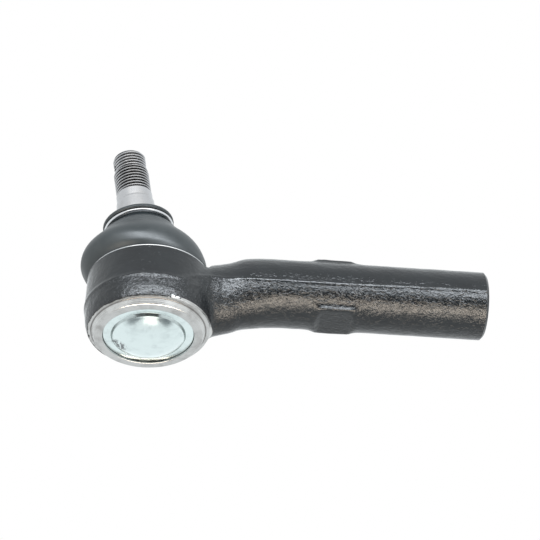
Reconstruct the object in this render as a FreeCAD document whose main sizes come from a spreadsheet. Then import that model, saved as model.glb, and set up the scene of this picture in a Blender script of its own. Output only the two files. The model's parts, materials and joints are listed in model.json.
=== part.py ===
"""Tie rod end: a ball joint in a forged housing whose arm ends in an internally threaded sleeve.

Frame: the origin is the ball's centre, +Z is the socket's axis towards the stud, and +X runs
along the arm to the sleeve's mouth.  Millimetres and degrees throughout.
"""
import FreeCAD, Part
import os
import re
import Sketcher

V = FreeCAD.Vector

# Driving dimensions: alias, value.
SIZES = [
    # ball stud, measured along its own axis from the ball's centre
    ("ball_radius", 13.5), ("stud_tilt", 7.2), ("neck_base", 11.543), ("neck_radius", 7.0), ("neck_top", 16.0),
    ("taper_start", 26.0), ("taper_large_radius", 8.95), ("taper_end", 47.6),
    ("taper_small_radius", 7.6), ("land_start", 48.3), ("land_radius", 7.2), ("land_end", 52.0),
    ("crest_radius", 7.04), ("pilot_start", 62.7), ("pilot_full", 64.2), ("pilot_radius", 6.55),
    ("tip_chamfer_start", 70.8), ("stud_length", 72.2), ("tip_radius", 5.2),
    ("thread_pitch", 1.411), ("root_radius", 6.2), ("groove_reach", 7.6),
    ("pin_hole_height", 66.2), ("pin_hole_radius", 1.75),
    # socket, radii about Z
    ("socket_radius", 24.95), ("shoulder_radius", 24.1), ("foot_radius", 24.4), ("parting_height", -5.1),
    ("shoulder_height", 9.0), ("hub_radius", 19.5), ("hub_height", 12.0), ("relief_radius", 25.3),
    ("relief_top", 26.0),
    ("band_height", -14.5), ("band_radius", 24.0), ("lip_foot_radius", 22.2),
    ("lip_outer_radius", 21.0), ("lip_height", -17.3), ("lip_inner_radius", 17.7),
    ("lip_inside", -16.2), ("cover_bore_radius", 18.6), ("ledge_height", -14.6),
    ("seal_groove_radius", 17.6), ("seal_groove_top", -13.2), ("bore_radius", 17.0),
    ("bore_top", 2.0), ("seat_stop_radius", 12.7), ("seat_stop_height", 8.9),
    ("mouth_radius", 11.6), ("mouth_flare_radius", 12.7),
    # arm and sleeve, radii about the sleeve's axis
    ("sleeve_height", 7.5), ("sleeve_radius", 13.48), ("sleeve_start", 40.0), ("sleeve_end", 133.0),
    ("sleeve_edge", 0.8), ("pilot_bore_radius", 8.5), ("rod_thread_crest", 8.72),
    ("rod_thread_start", 86.0), ("pilot_bore_end", 72.0), ("drill_point", 67.2),
    ("mouth_chamfer_radius", 9.8), ("rod_thread_pitch", 1.5875), ("rod_thread_root", 9.53),
    ("rod_groove_reach", 8.3),
    ("pad_start", 67.0), ("pad_end", 78.5), ("pad_half_width", 8.3), ("pad_flat", 12.4),
    ("pad_flank", 2.2), ("pad_flank_height", 10.8), ("pad_cut_width", 40.0),
    # seats, spring and cover
    ("seat_sphere", 13.55), ("seat_gap", 0.3), ("upper_seat_rim", 8.05), ("upper_seat_mouth", 11.2),
    ("upper_seat_top", 8.85), ("upper_seat_top_radius", 12.65), ("seat_radius", 16.95),
    ("upper_seat_shoulder", 1.95), ("grease_hole", 3.0), ("lower_seat_foot", -14.4),
    ("lower_seat_foot_radius", 15.2), ("lower_seat_chamfer", -12.7),
    ("plate_top", -14.45), ("plate_bottom", -15.05), ("plate_radius", 9.5), ("plate_hole", 3.2),
    ("spring_inner", 5.0), ("spring_outer", 10.2), ("spring_top", -15.1), ("spring_thickness", 0.8),
    ("spring_cone", 2.0),
    ("cover_radius", 18.5), ("rim_edge_radius", 14.5), ("dome_foot_radius", 13.75),
    ("dome_foot_height", -17.5), ("dome_side_radius", 11.2), ("dome_side_height", -19.34),
    ("dome_shoulder_radius", 8.1), ("dome_shoulder_height", -20.7), ("dome_top_radius", 3.7),
    ("dome_height", -21.35), ("hollow_foot_radius", 12.3), ("hollow_foot_height", -16.0),
    ("hollow_side_radius", 10.4), ("hollow_side_height", -17.95), ("hollow_radius", 4.0),
    ("hollow_height", -19.8),
    ("seal_radius", 18.1), ("seal_section", 0.48), ("seal_height", -14.1),
    # boot and its rings
    ("base_ring_radius", 23.9), ("base_ring_top", 9.9), ("base_ring_inner", 19.6),
    ("base_ring_leg", 20.4), ("base_ring_leg_top", 13.0),
    ("boot_wall", 1.7), ("boot_open_below", 1.0), ("boot_open_above", 4.0),
    ("collar_inner", 8.95), ("collar_start", 33.0), ("collar_start_radius", 11.6),
    ("collar_radius", 12.4), ("collar_flare", 35.9), ("lip_flare_radius", 13.7),
    ("lip_flare_height", 36.2), ("lip_edge_radius", 14.08), ("lip_edge_height", 36.6),
    ("lip_top", 37.1),
    ("clamp_inner", 12.75), ("clamp_outer", 13.6), ("clamp_bottom", 34.5), ("clamp_top", 35.6),
    ("clamp_edge", 0.25),
]

# Sections of the arm between the socket and the sleeve: place along X, half-width in Y,
# half-height in Z and the height of the section's centre.
ARM_SECTIONS = [
    ("root", 10.0, 18.5, 12.0, -2.0),
    ("web", 20.0, 15.8, 13.8, -0.2),
    ("waist", 25.2, 13.8, 14.6, 1.6),
    ("neck", 31.3, 12.8, 14.7, 3.4),
    ("swell", 39.3, 13.3, 14.4, 6.2),
    ("sleeve", 54.7, 13.48, 13.48, 7.5),
]

# Sections of the boot from its base to its neck: name, height, radius, how far its centre stands
# towards -X, and the share of the stud's tilt that it follows.
BOOT_SECTIONS = [
    ("base", 10.2, 22.9, 0.0, 0.0),
    ("low", 13.0, 24.1, 1.3, 0.08),
    ("wide", 16.5, 24.5, 2.5, 0.2),
    ("high", 20.5, 23.0, 3.3, 0.4),
    ("slope", 25.0, 19.3, 4.0, 0.65),
    ("waist", 29.5, 16.0, 4.35, 0.9),
    ("neck", 33.5, 12.6, 4.25, 1.0),
]

SUB_PARTS = [
    "housing", "ball_stud", "upper_ball_seat", "lower_ball_seat", "pressure_plate", "preload_spring",
    "cover_plate", "cover_seal", "boot_retaining_ring", "dust_boot", "boot_clamp_ring",
]


def make_sheet(doc):
    """Put every driving dimension in the sheet, under its alias."""
    sheet = doc.addObject("Spreadsheet::Sheet", "Sizes")
    rows = list(SIZES)
    for name, place, half_width, half_height, centre in ARM_SECTIONS:
        rows.append(("arm_%s_place" % name, place))
        rows.append(("arm_%s_half_width" % name, half_width))
        rows.append(("arm_%s_half_height" % name, half_height))
        rows.append(("arm_%s_centre" % name, centre))
    for name, height, radius, shift, share in BOOT_SECTIONS:
        rows.append(("boot_%s_height" % name, height))
        rows.append(("boot_%s_radius" % name, radius))
        rows.append(("boot_%s_shift" % name, shift))
        rows.append(("boot_%s_share" % name, share))
    for row, (alias, value) in enumerate(rows, 1):
        sheet.set("A%d" % row, alias)
        sheet.set("B%d" % row, str(value))
        sheet.setAlias("B%d" % row, alias)
    doc.recompute()
    return sheet


def formula(text):
    """The sheet expression for a sum of aliases and numbers, such as 'cover_radius - 0.2'."""
    return re.sub(r"[a-z_]+", lambda found: "Sizes." + found.group(0), text)


def value_of(sheet, text):
    """The number that such a sum has now."""
    total = 0.0
    for sign, term in re.findall(r"([+-]?)\s*([a-z_0-9.]+)", text):
        number = float(term) if term[0].isdigit() else float(sheet.get(term))
        total += -number if sign == "-" else number
    return total


def origin_plane(body, role):
    """One of the body's own origin planes."""
    return next(item for item in body.Origin.OriginFeatures if item.Role == role)


def pin_coordinate(sketch, sheet, kind, geometry, end, text):
    """Hold one coordinate of a point at a sheet expression."""
    if text == "0":
        axis = -2 if kind == "DistanceX" else -1
        sketch.addConstraint(Sketcher.Constraint("PointOnObject", geometry, end, axis))
        return
    number = value_of(sheet, text)
    if number < 0:
        index = sketch.addConstraint(Sketcher.Constraint(kind, geometry, end, -1, 1, -number))
        sketch.setExpression("Constraints[%d]" % index, "-(%s)" % formula(text))
    else:
        index = sketch.addConstraint(Sketcher.Constraint(kind, -1, 1, geometry, end, number))
        sketch.setExpression("Constraints[%d]" % index, formula(text))


def guess_point(sheet, point, ball):
    """A vertex as numbers; a coordinate left None lies on the circle of radius ball."""
    across, along = point
    if across is None:
        along = value_of(sheet, along)
        return V((value_of(sheet, ball) ** 2 - along ** 2) ** 0.5, along, 0)
    across = value_of(sheet, across)
    if along is None:
        return V(across, -(value_of(sheet, ball) ** 2 - across ** 2) ** 0.5, 0)
    return V(across, value_of(sheet, along), 0)


def draw_outline(body, sheet, name, points, ball=None, arc_at=None, raised=None):
    """Draw a closed outline on the body's XZ plane and hold every vertex to the sheet.

    points are (x, z) expressions; the side that starts at vertex arc_at is an arc of radius ball
    about the origin, whose ends have one coordinate each left to the arc.  raised lifts the
    sketch's own origin along Z.
    """
    sketch = body.newObject("Sketcher::SketchObject", name)
    sketch.AttachmentSupport = [(origin_plane(body, "XZ_Plane"), "")]
    sketch.MapMode = "FlatFace"
    if raised:
        sketch.AttachmentOffset = FreeCAD.Placement(V(0, value_of(sheet, raised), 0), FreeCAD.Rotation())
        sketch.setExpression("AttachmentOffset.Base.y", formula(raised))
    corners = [guess_point(sheet, point, ball) for point in points]
    count = len(points)
    for index in range(count):
        start, stop = corners[index], corners[(index + 1) % count]
        if index == arc_at:
            turn = V(0, 0, 1).dot(start.cross(stop))
            middle = (start + stop).normalize() * value_of(sheet, ball)
            ends = (start, middle, stop) if turn > 0 else (stop, middle, start)
            sketch.addGeometry(Part.Arc(*ends), False)
        else:
            sketch.addGeometry(Part.LineSegment(start, stop), False)
    ends = []
    for index in range(count):
        swapped = False
        if index == arc_at:
            start, stop = corners[index], corners[(index + 1) % count]
            swapped = V(0, 0, 1).dot(start.cross(stop)) < 0
        ends.append((2, 1) if swapped else (1, 2))
    for index in range(count):
        following = (index + 1) % count
        sketch.addConstraint(
            Sketcher.Constraint("Coincident", index, ends[index][1], following, ends[following][0]))
    if arc_at is not None:
        sketch.addConstraint(Sketcher.Constraint("Coincident", arc_at, 3, -1, 1))
        radius = sketch.addConstraint(Sketcher.Constraint("Radius", arc_at, value_of(sheet, ball)))
        sketch.setExpression("Constraints[%d]" % radius, formula(ball))
    for index, (across, along) in enumerate(points):
        on_arc = arc_at is not None and index in (arc_at, (arc_at + 1) % count)
        if across is not None:
            pin_coordinate(sketch, sheet, "DistanceX", index, ends[index][0], across)
        if along is not None and not (on_arc and across is not None):
            pin_coordinate(sketch, sheet, "DistanceY", index, ends[index][0], along)
    return sketch


def revolve(body, sketch, kind="PartDesign::Revolution", axis="V_Axis", name="Turned"):
    """Turn a sketch once round one of its own axes, adding to or cutting from the body."""
    before = body.Shape.Volume if body.Tip else 0.0
    feature = body.newObject(kind, name)
    feature.Profile = sketch
    feature.ReferenceAxis = (sketch, [axis])
    feature.Angle = 360.0
    body.Document.recompute()
    gained = body.Shape.Volume - before
    if (gained > 0) == (kind == "PartDesign::Groove"):
        raise RuntimeError("%s changed %s by %.1f mm3" % (name, body.Label, gained))
    return feature


def new_body(doc, label):
    """An empty body with its label."""
    body = doc.addObject("PartDesign::Body", "Body_" + label)
    body.Label = label
    return body


def turned_piece(doc, sheet, label, points, ball=None, arc_at=None):
    """A body made by one turned outline."""
    body = new_body(doc, label)
    revolve(body, draw_outline(body, sheet, label + "_outline", points, ball, arc_at))
    return body


def lean(item):
    """Lean a piece with the stud, about the ball's centre, towards -X."""
    item.Placement = FreeCAD.Placement(V(0, 0, 0), FreeCAD.Rotation(V(0, -1, 0), 1.0))
    item.setExpression("Placement.Rotation.Angle", "Sizes.stud_tilt * 1 deg")


def cut_thread(body, sheet, name, root, reach, start, end, pitch, axis="V_Axis", raised=None):
    """Cut a 60 degree helical groove whose floor is at root and whose mouth is at reach."""
    doc = body.Document
    half_floor = 0.0625 * value_of(sheet, pitch)
    half_mouth = half_floor + abs(value_of(sheet, reach) - value_of(sheet, root)) * 0.57735
    floor, mouth = value_of(sheet, root), value_of(sheet, reach)
    place = value_of(sheet, start)
    if axis == "V_Axis":
        corners = [V(floor, place - half_floor, 0), V(mouth, place - half_mouth, 0),
                   V(mouth, place + half_mouth, 0), V(floor, place + half_floor, 0)]
    else:
        corners = [V(place - half_floor, floor, 0), V(place - half_mouth, mouth, 0),
                   V(place + half_mouth, mouth, 0), V(place + half_floor, floor, 0)]
    sketch = body.newObject("Sketcher::SketchObject", name + "_section")
    sketch.AttachmentSupport = [(origin_plane(body, "XZ_Plane"), "")]
    sketch.MapMode = "FlatFace"
    if raised:
        sketch.AttachmentOffset = FreeCAD.Placement(V(0, value_of(sheet, raised), 0), FreeCAD.Rotation())
        sketch.setExpression("AttachmentOffset.Base.y", formula(raised))
    for index in range(4):
        sketch.addGeometry(Part.LineSegment(corners[index], corners[(index + 1) % 4]), False)
    for index in range(4):
        sketch.addConstraint(Sketcher.Constraint("Coincident", index, 2, (index + 1) % 4, 1))
    doc.recompute()
    before = body.Shape.Volume
    helix = body.newObject("PartDesign::SubtractiveHelix", name)
    helix.Profile = sketch
    helix.ReferenceAxis = (sketch, [axis])
    helix.Mode = 0
    helix.setExpression("Pitch", formula(pitch))
    helix.setExpression("Height", "(%s) - (%s)" % (formula(end), formula(start)))
    helix.Angle = 0
    helix.Growth = 0
    helix.Reversed = False
    doc.recompute()
    if not body.Shape.Volume < before:
        raise RuntimeError("%s cut nothing: %s" % (name, helix.State))
    return helix


def make_stud(doc, sheet):
    """The ball, neck, taper, plain land and threaded end, turned in one piece."""
    body = turned_piece(doc, sheet, "ball_stud", [
        ("0", "-ball_radius"), (None, "neck_base"), ("neck_radius", "neck_top"),
        ("taper_large_radius", "taper_start"), ("taper_small_radius", "taper_end"),
        ("land_radius", "land_start"), ("land_radius", "land_end"), ("crest_radius", "land_end"),
        ("crest_radius", "pilot_start"), ("pilot_radius", "pilot_full"),
        ("pilot_radius", "tip_chamfer_start"), ("tip_radius", "stud_length"), ("0", "stud_length"),
    ], ball="ball_radius", arc_at=0)
    return body


def thread_stud(doc, sheet, body):
    """Cut the stud's thread and its cotter pin hole, then lean it to its rest position."""
    cut_thread(body, sheet, "stud_thread", "root_radius", "groove_reach", "land_end + thread_pitch",
               "stud_length + thread_pitch", "thread_pitch")
    hole = body.newObject("Sketcher::SketchObject", "pin_hole_outline")
    hole.AttachmentSupport = [(origin_plane(body, "YZ_Plane"), "")]
    hole.MapMode = "FlatFace"
    hole.addGeometry(Part.Circle(V(0, value_of(sheet, "pin_hole_height"), 0), V(0, 0, 1), 1.0), False)
    hole.addConstraint(Sketcher.Constraint("PointOnObject", 0, 3, -2))
    pin_coordinate(hole, sheet, "DistanceY", 0, 3, "pin_hole_height")
    radius = hole.addConstraint(Sketcher.Constraint("Radius", 0, value_of(sheet, "pin_hole_radius")))
    hole.setExpression("Constraints[%d]" % radius, formula("pin_hole_radius"))
    doc.recompute()
    before = body.Shape.Volume
    drilled = body.newObject("PartDesign::Pocket", "Pin_hole")
    drilled.Profile = hole
    drilled.Midplane = True
    drilled.setExpression("Length", "4 * Sizes.crest_radius")
    doc.recompute()
    if not body.Shape.Volume < before:
        raise RuntimeError("the pin hole cut nothing")
    lean(body)
    return body


def make_housing(doc, sheet):
    """Socket, arm and sleeve as one forging, with its machined faces and bores."""
    body = new_body(doc, "housing")
    revolve(body, draw_outline(body, sheet, "socket_outline", [
        ("0", "lip_height"), ("lip_outer_radius", "lip_height"), ("lip_foot_radius", "band_height"),
        ("band_radius", "band_height"),
        ("foot_radius", "band_height + 0.6"), ("socket_radius", "parting_height"),
        ("shoulder_radius", "shoulder_height"), ("hub_radius", "shoulder_height"),
        ("hub_radius", "hub_height"), ("0", "hub_height"),
    ]), name="Socket")
    add_arm(body, sheet)
    revolve(body, draw_outline(body, sheet, "sleeve_outline", [
        ("sleeve_start", "0"), ("sleeve_end", "0"), ("sleeve_end", "sleeve_radius - sleeve_edge"),
        ("sleeve_end - sleeve_edge", "sleeve_radius"), ("sleeve_start", "sleeve_radius"),
    ], raised="sleeve_height"), axis="H_Axis", name="Sleeve")
    add_wrench_pads(body, sheet)
    revolve(body, draw_outline(body, sheet, "relief_outline", [
        ("hub_radius", "shoulder_height"), ("relief_radius", "shoulder_height"),
        ("relief_radius", "relief_top"), ("hub_radius", "relief_top"),
    ]), kind="PartDesign::Groove", name="Turned_relief")
    revolve(body, draw_outline(body, sheet, "cavity_outline", [
        ("0", "lip_height - 1"), ("lip_inner_radius", "lip_height - 1"), ("lip_inner_radius", "lip_inside"),
        ("cover_bore_radius", "lip_inside"), ("cover_bore_radius", "seal_groove_top"),
        ("seal_groove_radius", "seal_groove_top"), ("seal_groove_radius", "ledge_height"),
        ("bore_radius", "ledge_height"), ("bore_radius", "bore_top"),
        ("seat_stop_radius", "seat_stop_height"), ("mouth_radius", "seat_stop_height"),
        ("mouth_flare_radius", "hub_height + 1"), ("0", "hub_height + 1"),
    ]), kind="PartDesign::Groove", name="Socket_cavity")
    revolve(body, draw_outline(body, sheet, "sleeve_bore_outline", [
        ("drill_point", "0"), ("pilot_bore_end", "pilot_bore_radius"),
        ("rod_thread_start", "pilot_bore_radius"), ("rod_thread_start", "rod_thread_crest"),
        ("sleeve_end - 1.1", "rod_thread_crest"), ("sleeve_end", "mouth_chamfer_radius"),
        ("sleeve_end + 1", "mouth_chamfer_radius"), ("sleeve_end + 1", "0"),
    ], raised="sleeve_height"), kind="PartDesign::Groove", axis="H_Axis", name="Sleeve_bore")
    cut_thread(body, sheet, "rod_thread", "rod_thread_root", "rod_groove_reach",
               "rod_thread_start + rod_thread_pitch", "sleeve_end + rod_thread_pitch",
               "rod_thread_pitch", axis="H_Axis", raised="sleeve_height")
    return body


def add_arm(body, sheet):
    """Loft the arm from the socket to the sleeve through ellipses."""
    sketches = []
    for name, place, half_width, half_height, centre in ARM_SECTIONS:
        sketch = body.newObject("Sketcher::SketchObject", "arm_" + name)
        sketch.AttachmentSupport = [(origin_plane(body, "YZ_Plane"), "")]
        sketch.MapMode = "FlatFace"
        sketch.AttachmentOffset = FreeCAD.Placement(V(0, centre, place), FreeCAD.Rotation())
        sketch.setExpression("AttachmentOffset.Base.y", "Sizes.arm_%s_centre" % name)
        sketch.setExpression("AttachmentOffset.Base.z", "Sizes.arm_%s_place" % name)
        wide = half_width >= half_height
        long_half, short_half = max(half_width, half_height), min(half_width, half_height)
        if long_half - short_half < 0.001:
            sketch.addGeometry(Part.Circle(V(0, 0, 0), V(0, 0, 1), long_half), False)
            sketch.addConstraint(Sketcher.Constraint("Coincident", 0, 3, -1, 1))
            radius = sketch.addConstraint(Sketcher.Constraint("Radius", 0, long_half))
            sketch.setExpression("Constraints[%d]" % radius, "Sizes.arm_%s_half_width" % name)
        else:
            major = V(long_half, 0, 0) if wide else V(0, long_half, 0)
            minor = V(0, short_half, 0) if wide else V(-short_half, 0, 0)
            sketch.addGeometry(Part.Ellipse(major, minor, V(0, 0, 0)), False)
            sketch.exposeInternalGeometry(0)
            sketch.addConstraint(Sketcher.Constraint("Coincident", 0, 3, -1, 1))
            sketch.addConstraint(Sketcher.Constraint("Horizontal" if wide else "Vertical", 1))
            sizes = ("half_width", "half_height") if wide else ("half_height", "half_width")
            for line, half, size in ((1, long_half, sizes[0]), (2, short_half, sizes[1])):
                length = sketch.addConstraint(Sketcher.Constraint("Distance", line, 2 * half))
                sketch.setExpression("Constraints[%d]" % length, "2 * Sizes.arm_%s_%s" % (name, size))
        sketches.append(sketch)
    body.Document.recompute()
    loft = body.newObject("PartDesign::AdditiveLoft", "Arm")
    loft.Profile = sketches[0]
    loft.Sections = sketches[1:]
    loft.Ruled = False
    body.Document.recompute()


def add_wrench_pads(body, sheet):
    """The two opposite forged pads with flats for a wrench."""
    pad = body.newObject("PartDesign::Pad", "Wrench_pads")
    pad.Profile = draw_outline(body, sheet, "pads", [
        ("pad_start - pad_flank", "-pad_flank_height"), ("pad_start", "-pad_flat"), ("pad_end", "-pad_flat"),
        ("pad_end + pad_flank", "-pad_flank_height"), ("pad_end + pad_flank", "pad_flank_height"),
        ("pad_end", "pad_flat"), ("pad_start", "pad_flat"), ("pad_start - pad_flank", "pad_flank_height"),
    ], raised="sleeve_height")
    pad.Midplane = True
    pad.setExpression("Length", "2 * Sizes.pad_half_width")
    body.Document.recompute()
    for name, near, far in (("upper_flat", "pad_flat", "pad_flat + 4"), ("lower_flat", "-pad_flat", "-pad_flat - 4")):
        sketch = draw_outline(body, sheet, name, [
            ("pad_start", near), ("pad_end", near), ("pad_end", far), ("pad_start", far),
        ], raised="sleeve_height")
        before = body.Shape.Volume
        pocket = body.newObject("PartDesign::Pocket", "Wrench_" + name)
        pocket.Profile = sketch
        pocket.Midplane = True
        pocket.setExpression("Length", "Sizes.pad_cut_width")
        body.Document.recompute()
        if not body.Shape.Volume < before:
            raise RuntimeError("%s cut nothing" % name)


def make_seats(doc, sheet):
    """The two bearing halves round the ball."""
    turned_piece(doc, sheet, "upper_ball_seat", [
        (None, "seat_gap"), (None, "upper_seat_rim"), ("upper_seat_mouth", "upper_seat_top"),
        ("upper_seat_top_radius", "upper_seat_top"), ("seat_radius", "upper_seat_shoulder"),
        ("seat_radius", "seat_gap"),
    ], ball="seat_sphere", arc_at=0)
    turned_piece(doc, sheet, "lower_ball_seat", [
        ("grease_hole", None), (None, "-seat_gap"), ("seat_radius", "-seat_gap"),
        ("seat_radius", "lower_seat_chamfer"), ("lower_seat_foot_radius", "lower_seat_foot"),
        ("grease_hole", "lower_seat_foot"),
    ], ball="seat_sphere", arc_at=0)


def make_preload(doc, sheet):
    """The wear plate under the lower seat and the disc spring that pushes on it."""
    turned_piece(doc, sheet, "pressure_plate", [
        ("plate_hole", "plate_bottom"), ("plate_radius", "plate_bottom"), ("plate_radius", "plate_top"),
        ("plate_hole", "plate_top"),
    ])
    turned_piece(doc, sheet, "preload_spring", [
        ("spring_inner", "spring_top - spring_thickness"),
        ("spring_outer", "spring_top - spring_cone - spring_thickness"),
        ("spring_outer", "spring_top - spring_cone"), ("spring_inner", "spring_top"),
    ])


def make_cover(doc, sheet):
    """The pressed cover plate, raised in its middle, and the seal behind its rim."""
    turned_piece(doc, sheet, "cover_plate", [
        ("0", "dome_height"), ("dome_top_radius", "dome_height"),
        ("dome_shoulder_radius", "dome_shoulder_height"), ("dome_side_radius", "dome_side_height"),
        ("dome_foot_radius", "dome_foot_height"), ("rim_edge_radius", "lip_inside"),
        ("cover_radius", "lip_inside"), ("cover_radius", "ledge_height"),
        ("hollow_foot_radius", "ledge_height"), ("hollow_foot_radius", "hollow_foot_height"),
        ("hollow_side_radius", "hollow_side_height"), ("hollow_radius", "hollow_height"),
        ("0", "hollow_height"),
    ])
    seal = doc.addObject("Part::Torus", "Seal")
    seal.Label = "cover_seal"
    seal.setExpression("Radius1", "Sizes.seal_radius")
    seal.setExpression("Radius2", "Sizes.seal_section")
    seal.setExpression("Placement.Base.z", "Sizes.seal_height")


def make_boot_rings(doc, sheet):
    """The steel ring that seats the boot on the socket, and the ring that clamps its neck."""
    turned_piece(doc, sheet, "boot_retaining_ring", [
        ("base_ring_inner", "shoulder_height"), ("base_ring_radius", "shoulder_height"),
        ("base_ring_radius", "base_ring_top"), ("base_ring_leg", "base_ring_top"),
        ("base_ring_leg", "base_ring_leg_top"), ("base_ring_inner", "base_ring_leg_top"),
    ])
    lean(turned_piece(doc, sheet, "boot_clamp_ring", [
        ("clamp_inner", "clamp_bottom"), ("clamp_outer - clamp_edge", "clamp_bottom"),
        ("clamp_outer", "clamp_bottom + clamp_edge"), ("clamp_outer", "clamp_top - clamp_edge"),
        ("clamp_outer - clamp_edge", "clamp_top"), ("clamp_inner", "clamp_top"),
    ]))


def boot_skin(doc, name, inset):
    """A loft through the boot's circles, each drawn in by inset and leaning by its share."""
    circles = []
    for section in (row[0] for row in BOOT_SECTIONS):
        circle = doc.addObject("Part::Circle", "%s_%s" % (name, section))
        height = "Sizes.boot_%s_height" % section
        if inset and section == "base":
            height += " - Sizes.boot_open_below"
        if inset and section == "neck":
            height += " + Sizes.boot_open_above"
        circle.Placement = FreeCAD.Placement(V(0, 0, 0), FreeCAD.Rotation(V(0, -1, 0), 1.0))
        circle.setExpression("Radius", "Sizes.boot_%s_radius - %s" % (section, inset or "0"))
        circle.setExpression("Placement.Base.x", "-Sizes.boot_%s_shift" % section)
        circle.setExpression("Placement.Base.z", height)
        angle = "Sizes.boot_%s_share * Sizes.stud_tilt * 1 deg" % section
        circle.setExpression("Placement.Rotation.Angle", angle)
        circles.append(circle)
    loft = doc.addObject("Part::Loft", name)
    loft.Sections = circles
    loft.Solid = True
    loft.Ruled = False
    return loft


def make_boot(doc, sheet):
    """The rubber boot: a hollow bulge that ends in a collar with a sealing lip on the stud."""
    wall = doc.addObject("Part::Cut", "Boot_wall")
    wall.Base = boot_skin(doc, "Boot_outside", None)
    wall.Tool = boot_skin(doc, "Boot_inside", "Sizes.boot_wall")
    collar = turned_piece(doc, sheet, "boot_collar_blank", [
        ("collar_inner", "collar_start"), ("collar_start_radius", "collar_start"),
        ("collar_radius", "collar_start + 0.8"), ("collar_radius", "collar_flare"),
        ("lip_flare_radius", "lip_flare_height"), ("lip_edge_radius", "lip_edge_height"),
        ("lip_edge_radius", "lip_top"), ("collar_inner", "lip_top"),
    ])
    lean(collar)
    boot = doc.addObject("Part::Fuse", "Boot")
    boot.Base = wall
    boot.Tool = collar
    boot.Label = "dust_boot"


def check_and_write(doc):
    """Stop on any failed object or bad sub-part, then write each sub-part's STEP file."""
    doc.recompute()
    for item in doc.Objects:
        if "Invalid" in item.State or "Error" in item.State:
            raise RuntimeError("%s is %s" % (item.Label, item.State))
    shapes = {}
    for label in SUB_PARTS:
        shape = doc.getObjectsByLabel(label)[0].Shape
        if shape.isNull() or not shape.isValid() or not shape.Solids:
            raise RuntimeError("%s has no valid solid" % label)
        shapes[label] = shape
    os.makedirs("parts", exist_ok=True)
    for label, shape in shapes.items():
        shape.exportStep("parts/%s.step" % label)
        print("%-20s %10.1f mm3  %d solid" % (label, shape.Volume, len(shape.Solids)))


def main():
    """Build the document and write the parts."""
    doc = FreeCAD.newDocument("TieRodEnd")
    sheet = make_sheet(doc)
    thread_stud(doc, sheet, make_stud(doc, sheet))
    make_housing(doc, sheet)
    make_seats(doc, sheet)
    make_preload(doc, sheet)
    make_cover(doc, sheet)
    make_boot_rings(doc, sheet)
    make_boot(doc, sheet)
    check_and_write(doc)


main()
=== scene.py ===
"""Looks of the tie rod end: a forged housing, a ball stud with its boot, rings and cover plate."""
import json
import logging
import math
from dataclasses import dataclass, field
from enum import Enum

import bmesh
import bpy
from mathutils import Matrix, Vector

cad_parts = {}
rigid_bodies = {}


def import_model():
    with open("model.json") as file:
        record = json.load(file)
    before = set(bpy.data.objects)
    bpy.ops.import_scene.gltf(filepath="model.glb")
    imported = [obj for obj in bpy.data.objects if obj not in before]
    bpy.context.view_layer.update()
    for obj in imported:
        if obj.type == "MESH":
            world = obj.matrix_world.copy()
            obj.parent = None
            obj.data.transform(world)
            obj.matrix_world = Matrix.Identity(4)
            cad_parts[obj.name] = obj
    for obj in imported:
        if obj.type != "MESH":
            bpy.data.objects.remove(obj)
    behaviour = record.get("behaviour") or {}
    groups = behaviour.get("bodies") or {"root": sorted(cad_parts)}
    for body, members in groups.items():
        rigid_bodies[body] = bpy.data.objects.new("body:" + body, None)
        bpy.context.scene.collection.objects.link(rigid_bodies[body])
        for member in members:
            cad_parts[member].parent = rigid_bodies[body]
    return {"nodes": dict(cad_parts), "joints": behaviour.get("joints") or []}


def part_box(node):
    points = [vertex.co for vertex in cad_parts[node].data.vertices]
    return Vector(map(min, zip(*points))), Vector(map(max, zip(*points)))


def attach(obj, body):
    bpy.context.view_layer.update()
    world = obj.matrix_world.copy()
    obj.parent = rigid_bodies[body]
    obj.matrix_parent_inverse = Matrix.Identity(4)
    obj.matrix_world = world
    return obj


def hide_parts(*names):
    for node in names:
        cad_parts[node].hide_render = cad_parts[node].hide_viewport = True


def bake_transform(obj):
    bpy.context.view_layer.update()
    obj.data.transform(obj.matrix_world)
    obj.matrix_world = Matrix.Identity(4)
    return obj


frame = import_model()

LOG = logging.getLogger("tie_rod_end")
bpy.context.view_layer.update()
MM = 0.001
Outline = list[tuple[float, float]]
Triple = tuple[float, float, float]
Item = bpy.types.Object
Socket = bpy.types.NodeSocket
Tree = bpy.types.NodeTree
Material = bpy.types.Material
Value = "Field | float"


class Body(Enum):
    """The moving bodies that a piece can ride on."""
    SOCKET = "socket"
    BOOT = "boot"
    COLLAR = "boot_collar"
    STUD = "stud"


class Slot(Enum):
    """The record's finishes that a rebuilt piece can carry."""
    FORGING = "black_forging"
    STUD = "bright_steel"
    ZINC = "zinc_plate"
    RING = "bright_ring"
    RUBBER = "boot_rubber"


# ---- node helpers


def give(tree: Tree, target: Socket, value: object) -> None:
    """Link a field or a socket to a node's input, or set the input to a plain value."""
    source = value.socket if isinstance(value, Field) else value
    if isinstance(source, Socket):
        tree.links.new(source, target)
    else:
        target.default_value = source


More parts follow.
